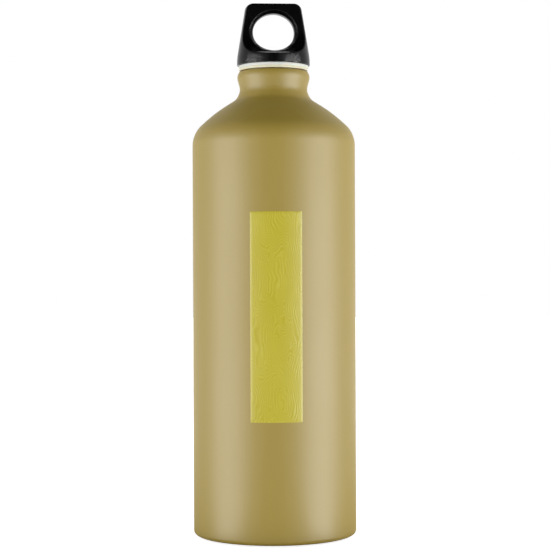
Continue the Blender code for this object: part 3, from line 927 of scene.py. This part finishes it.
class BOTTLE_OT_add_plug(Operator):
    """Adds the plug with its flange and male thread"""

    bl_idname = "bottle.add_plug"
    bl_label = "Threaded Plug"

    def execute(self, context):
        settings = context.scene.aluminium_bottle
        shell, thread, plug = settings.shell, settings.thread, settings.plug
        start = thread.turned_by / math.tau
        depth, floor, bore = plug.cup
        flange_low, flange_high, flange_radius = plug.flange

        def raised(radius, height, turn):
            """The radius of a point, further out on the thread."""
            if abs(radius - thread.root_radius) > TINY:
                return radius
            high, turns = flank(thread, height - shell.rim_height, turn - start, 0)
            grown = min(1.0, turns / thread.fade, (thread.turns - turns) / thread.fade)
            return radius + thread.ridge[0] * high * max(0.0, grown)

        inside = rounded([
            (0, floor - depth),
            (bore, floor - depth, plug.edge),
            *bead(plug, bore),
            (bore, flange_high, plug.edge),
            (flange_radius, flange_high, plug.edge),
            (flange_radius, flange_low, plug.edge),
            (thread.root_radius + plug.edge, flange_low),
        ])
        levels = rows_between(plug.chamfer - depth, flange_low - plug.edge, thread)[::-1]
        wall = [(thread.root_radius, level) for level in levels]
        bottom = rounded([
            wall[-1],
            (thread.root_radius, -depth, plug.chamfer / 2),
            (0, -depth),
        ])[1:]
        outline = lifted(inside + wall + bottom, shell.rim_height)
        piece = turned("cap_plug", outline, thread.segments, wave=raised)
        dress(piece, cream_plastic, "cap", "threaded_plug")
        return {"FINISHED"}


def scoop_face(cap, height):
    """How far the loop's face lies from its middle plane, at a height."""
    drop = min(cap.scoop, max(0.0, cap.shelf + cap.scoop - height))
    return cap.loop / 2 + cap.scoop - math.sqrt(cap.scoop ** 2 - drop ** 2)


def scoop_tool(cap, side):
    """What is scooped away on one side of the loop: flat above, hollow below."""
    far = 2 * cap.scoop + cap.skirt_radius
    high = cap.top[1] + cap.scoop
    corners = [
        (far, high),
        (cap.loop / 2, high),
        (cap.loop / 2, cap.shelf, cap.scoop),
        (far, cap.shelf),
    ]
    outline = rounded(corners)
    half = 2 * cap.skirt_radius
    return skinned("scoop", [[(end, side * y, z) for y, z in outline] for end in (-half, half)])


def hole_tool(cap):
    """The oval finger hole, whose edges are bevelled at both mouths."""
    low, high, width = cap.hole
    middle = (high + low) / 2
    far = 2 * cap.skirt_radius
    segments = 2 * (cap.segments // 3)
    wide, deep = 2 * cap.bevel[0], cap.bevel[1]
    rings = []
    for side in (-1, 1):
        mouth = []
        for growth, beyond in ((wide, far), (wide, deep), (0, -deep)):
            ring = []
            for i in range(segments):
                turn = math.tau * i / segments
                x = (width / 2 + growth) * math.cos(turn)
                z = middle + ((high - low) / 2 + growth) * math.sin(turn)
                ring.append((x, side * (scoop_face(cap, z) + beyond), z))
            mouth.append(ring)
        rings += mouth[::-side]
    return skinned("finger_hole", rings)


def soften(piece, cap):
    """Rounds a carved body's edges as a mould does, the more the higher they lie."""
    even = piece.modifiers.new("even", "REMESH")
    even.mode = "VOXEL"
    even.voxel_size = cap.grain
    settle(piece)
    floor, _, wall = cap.skirt
    group = piece.vertex_groups.new(name="softness")
    for vertex in piece.data.vertices:
        above = (vertex.co.z - floor) / wall
        group.add([vertex.index], max(LEAST_SOFTNESS, min(1.0, above)), "REPLACE")
    smooth = piece.modifiers.new("soften", "SMOOTH")
    smooth.factor = 0.5
    smooth.iterations = cap.softness
    smooth.vertex_group = group.name
    settle(piece)
    shade(piece, math.pi)


class BOTTLE_OT_add_cap(Operator):
    """Adds the moulded cap with its loop"""

    bl_idname = "bottle.add_cap"
    bl_label = "Cap"

    def execute(self, context):
        settings = context.scene.aluminium_bottle
        cap, plug = settings.cap, settings.plug
        low, straight, wall = cap.skirt
        inner = cap.skirt_radius - wall
        spigot, bore, depth = cap.spigot
        outline = rounded([
            (0, cap.top[1]),
            tuple(cap.top),
            (cap.skirt_radius, low + straight, cap.skirt_fillet),
            (cap.skirt_radius, low, plug.edge),
            (inner, low, plug.edge),
            (inner, cap.cavity_top, plug.edge),
            (spigot, cap.cavity_top, plug.edge),
            *bead(plug, spigot)[::-1],
            (spigot, -depth, plug.edge),
            (bore, -depth, plug.edge),
            (bore, cap.cavity_top, plug.edge),
            (0, cap.cavity_top),
        ])
        piece = turned("cap_loop", outline, cap.segments)
        carve(piece, scoop_tool(cap, -1))
        carve(piece, scoop_tool(cap, 1))
        carve(piece, hole_tool(cap))
        soften(piece, cap)
        place = Matrix.Translation((0, 0, settings.shell.rim_height))
        piece.data.transform(place @ Matrix.Rotation(settings.thread.turned_by, 4, "Z"))
        dress(piece, black_plastic, "cap", "cap_handle")
        return {"FINISHED"}


# The studio


def facing(aim):
    """The turn of a lamp that shines along a direction."""
    return aim.to_track_quat("-Z", "Y").to_euler()


def softbox(name, place, turn, size, brightness):
    """A rectangular lamp that shines one way and that the camera doesn't see."""
    lamp = bpy.data.lights.new(name, "AREA")
    lamp.shape = "RECTANGLE"
    lamp.size, lamp.size_y = size
    lamp.energy = brightness * math.pi * size[0] * size[1]
    lamp.cycles.use_multiple_importance_sampling = False
    holder = bpy.data.objects.new(name, lamp)
    bpy.context.scene.collection.objects.link(holder)
    holder.location = place
    holder.rotation_euler = turn
    holder.visible_camera = False
    return holder


def side_lamps(name, azimuth, brightness):
    """An upright lamp at one side and a fan of low ones before it, seen in reflections alone."""
    away = Matrix.Rotation(azimuth, 3, "Z") @ Vector((0, -1, 0))
    wall = Matrix.Rotation(azimuth / 2, 3, "Z") @ Vector((0, -SHELL_HIGH.x, GAP))
    middle = wall + away * SIDE_DISTANCE + Vector((0, 0, SIDE_HEIGHT / 2))
    lamp = softbox(name, middle, facing(-away), (SIDE_WIDTH, SIDE_HEIGHT), brightness)
    lamp.visible_diffuse = False
    face_up = (math.pi, 0, azimuth)
    far = SIDE_DISTANCE
    for i in range(LOW_LAMPS):
        near = far / 2
        reach = (near + far) / 2
        size = (SIDE_WIDTH * reach / SIDE_DISTANCE, far - near)
        low_name = f"low_{name}_{i}"
        lamp = softbox(low_name, wall + away * reach, face_up, size, brightness * LOW_SHARE)
        lamp.visible_diffuse = False
        far = near


def fill_lamp(name, azimuth, brightness):
    """A lamp at one side that lights matt surfaces and shows in no reflection."""
    away = Matrix.Rotation(azimuth, 3, "Z") @ Vector((0, -SIDE_DISTANCE, 0))
    place = away + Vector((0, 0, FILL_HEIGHT))
    lamp = softbox(name, place, facing(-place), (FILL_SIZE, FILL_SIZE), brightness)
    lamp.visible_glossy = False


def white_floor(studio):
    """White lit paper that keeps the bottle's soft shadow. Its glow is faded round the foot, a painted
    shadow, and over a wider middle in reflections, a painted dark reflection; the camera sees the glow
    even.
    """
    paper = bpy.data.materials.new("white_paper")
    nodes = Nodes(paper)
    nodes.tree.nodes.remove(nodes.tree.nodes["Principled BSDF"])
    place = nodes.add("ShaderNodeTexCoord", {}).outputs["Object"]
    away = nodes.add("ShaderNodeVectorMath", {0: place}, operation="LENGTH").outputs["Value"]
    path = nodes.add("ShaderNodeLightPath", {}).outputs
    # Painted shadow: the glow fades round the foot for all but camera rays, and over a wider middle for
    # glossy rays
    foot = SHELL_HIGH.x + studio.foot_shadow
    reach = nodes.maths("MULTIPLY_ADD", path["Is Glossy Ray"], MIRROR_SHADOW, foot)
    limits = {"Value": away, "From Min": SHELL_HIGH.x, "From Max": reach}
    beyond = nodes.add("ShaderNodeMapRange", limits, interpolation_type="SMOOTHSTEP").outputs[0]
    seen = nodes.maths("MAXIMUM", path["Is Camera Ray"], beyond)
    strength = nodes.maths("MULTIPLY", seen, studio.floor)
    plain = nodes.add("ShaderNodeBsdfDiffuse", {"Color": PAPER_WHITE}).outputs[0]
    lit = nodes.add("ShaderNodeEmission", {"Strength": strength}).outputs[0]
    both = nodes.add("ShaderNodeAddShader", {0: plain, 1: lit}).outputs[0]
    nodes.tree.links.new(both, nodes.tree.nodes["Material Output"].inputs["Surface"])
    return paper


def white_world(studio):
    """Even light from all around, which is seen as a white background."""
    world = bpy.data.worlds.new("white_room")
    nodes = Nodes(world)
    world.cycles.sampling_method = "NONE"
    path = nodes.add("ShaderNodeLightPath", {}).outputs
    mirrored = nodes.maths("MAXIMUM", path["Is Glossy Ray"], path["Is Transmission Ray"])
    seen = nodes.maths("MAXIMUM", path["Is Camera Ray"], mirrored)
    levels = {"Value": seen, "To Min": studio.world, "To Max": studio.background}
    strength = nodes.add("ShaderNodeMapRange", levels).outputs[0]
    back = nodes.tree.nodes["Background"]
    back.inputs["Color"].default_value = WHITE
    nodes.tree.links.new(strength, back.inputs["Strength"])
    bpy.context.scene.world = world


def flat_sheet(name, corners, finish):
    """A flat sheet that belongs to the studio."""
    form = bmesh.new()
    form.faces.new([form.verts.new(corner) for corner in corners])
    sheet = piece_of(name, form)
    sheet.data.materials.append(finish)
    return sheet


def dark_card():
    """Matt black card."""
    card = bpy.data.materials.new("black_card")
    card.use_nodes = True
    shader = card.node_tree.nodes["Principled BSDF"]
    shader.inputs["Base Color"].default_value = CARD_BLACK
    shader.inputs["Roughness"].default_value = 1.0
    shader.inputs["Specular IOR Level"].default_value = 0.0
    return card


def level_corners(width, depth, height):
    """The corners of a level sheet with its middle on the Z axis."""
    x, y = width / 2, depth / 2
    return [(-x, -y, height), (x, -y, height), (x, y, height), (-x, y, height)]


def dark_ceiling():
    """A dark ceiling that only matt surfaces see, and the strip of it that reflections show."""
    square = level_corners(CEILING_SIZE, CEILING_SIZE, CEILING_HEIGHT)
    ceiling = flat_sheet("dark_ceiling", square, dark_card())
    ceiling.visible_camera = False
    ceiling.visible_glossy = False
    strip = level_corners(STRIP_WIDTH, CEILING_SIZE, CEILING_HEIGHT - GAP)
    flat_sheet("dark_strip", strip, dark_card()).visible_camera = False


def front_card(brightness):
    """A dark card behind the camera for reflections, and a lamp in its stead for matt surfaces."""
    half, away = CARD_WIDTH / 2, -CARD_DISTANCE
    low, high = GAP, CEILING_HEIGHT - GAP
    corners = [(-half, away, low), (half, away, low), (half, away, high), (-half, away, high)]
    flat_sheet("front_card", corners, dark_card()).visible_camera = False
    place = Vector((0, away + GAP, (low + high) / 2))
    turn = facing(Vector((0, 1, 0)))
    lamp = softbox("front_lamp", place, turn, (CARD_WIDTH, high - low), brightness)
    lamp.visible_glossy = False


def stand_camera(studio):
    """The camera in front of the bottle, level but for a slight lean."""
    camera = bpy.data.cameras.new("camera")
    camera.lens = studio.lens
    camera.sensor_width = SENSOR_WIDTH
    camera.clip_start = SIGHT_START
    holder = bpy.data.objects.new("camera", camera)
    bpy.context.scene.collection.objects.link(holder)
    stand = Matrix.Translation((studio.aside, -studio.distance, studio.height))
    level = Matrix.Rotation(math.pi / 2, 4, "X")
    holder.matrix_world = stand @ level @ Matrix.Rotation(-studio.roll, 4, "Z")
    return holder


class BOTTLE_OT_add_studio(Operator):
    """Adds the floor, the cards, the lamps and the camera"""

    bl_idname = "bottle.add_studio"
    bl_label = "Studio"

    def execute(self, context):
        scene = context.scene
        studio = scene.aluminium_bottle.studio
        flat_sheet("floor", level_corners(FLOOR_SIZE, FLOOR_SIZE, 0), white_floor(studio))
        dark_ceiling()
        front_card(studio.world)
        white_world(studio)
        side_lamps("left_lamp", -studio.side_angle, studio.left)
        side_lamps("right_lamp", studio.side_angle, studio.right)
        fill_lamp("left_fill", -FILL_ANGLE, studio.left_fill)
        fill_lamp("right_fill", FILL_ANGLE, studio.right_fill)
        scene.camera = stand_camera(studio)
        scene.view_settings.view_transform = "Standard"
        return {"FINISHED"}


class BOTTLE_PT_pieces(Panel):
    """Lists the bottle's pieces and settings"""

    bl_label = "Aluminium Bottle"
    bl_space_type = "VIEW_3D"
    bl_region_type = "UI"
    bl_category = "Bottle"

    def draw(self, context):
        for operator in OPERATORS:
            self.layout.operator(operator.bl_idname)
        settings = context.scene.aluminium_bottle
        for name in BottleSettings.__annotations__:
            group = getattr(settings, name)
            box = self.layout.box()
            box.label(text=name.title())
            for key in group.__annotations__:
                box.prop(group, key)


GROUPS = (ShellSizes, PanelSizes, ThreadSizes, PlugSizes, CapSizes, Finishes, Studio, BottleSettings)
OPERATORS = (
    BOTTLE_OT_add_shell,
    BOTTLE_OT_add_lining,
    BOTTLE_OT_add_panel,
    BOTTLE_OT_add_thread_ring,
    BOTTLE_OT_add_seal,
    BOTTLE_OT_add_plug,
    BOTTLE_OT_add_cap,
    BOTTLE_OT_add_studio,
)


def register():
    """Registers the add-on's classes and settings."""
    for item in (*GROUPS, *OPERATORS, BOTTLE_PT_pieces):
        bpy.utils.register_class(item)
    bpy.types.Scene.aluminium_bottle = PointerProperty(type=BottleSettings)


def unregister():
    """Takes the add-on's classes and settings away."""
    del bpy.types.Scene.aluminium_bottle
    for item in (BOTTLE_PT_pieces, *OPERATORS[::-1], *GROUPS[::-1]):
        bpy.utils.unregister_class(item)


def clear_defaults():
    """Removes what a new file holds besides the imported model."""
    kept = {*frame["nodes"].values(), *frame["bodies"].values()}
    for item in list(bpy.data.objects):
        if item not in kept:
            bpy.data.objects.remove(item, do_unlink=True)


def main():
    """Builds the bottle and its studio."""
    register()
    clear_defaults()
    bpy.ops.bottle.add_shell()
    bpy.ops.bottle.add_lining()
    bpy.ops.bottle.add_panel()
    bpy.ops.bottle.add_thread_ring()
    bpy.ops.bottle.add_seal()
    bpy.ops.bottle.add_plug()
    bpy.ops.bottle.add_cap()
    bpy.ops.bottle.add_studio()


if __name__ == "__main__":
    main()
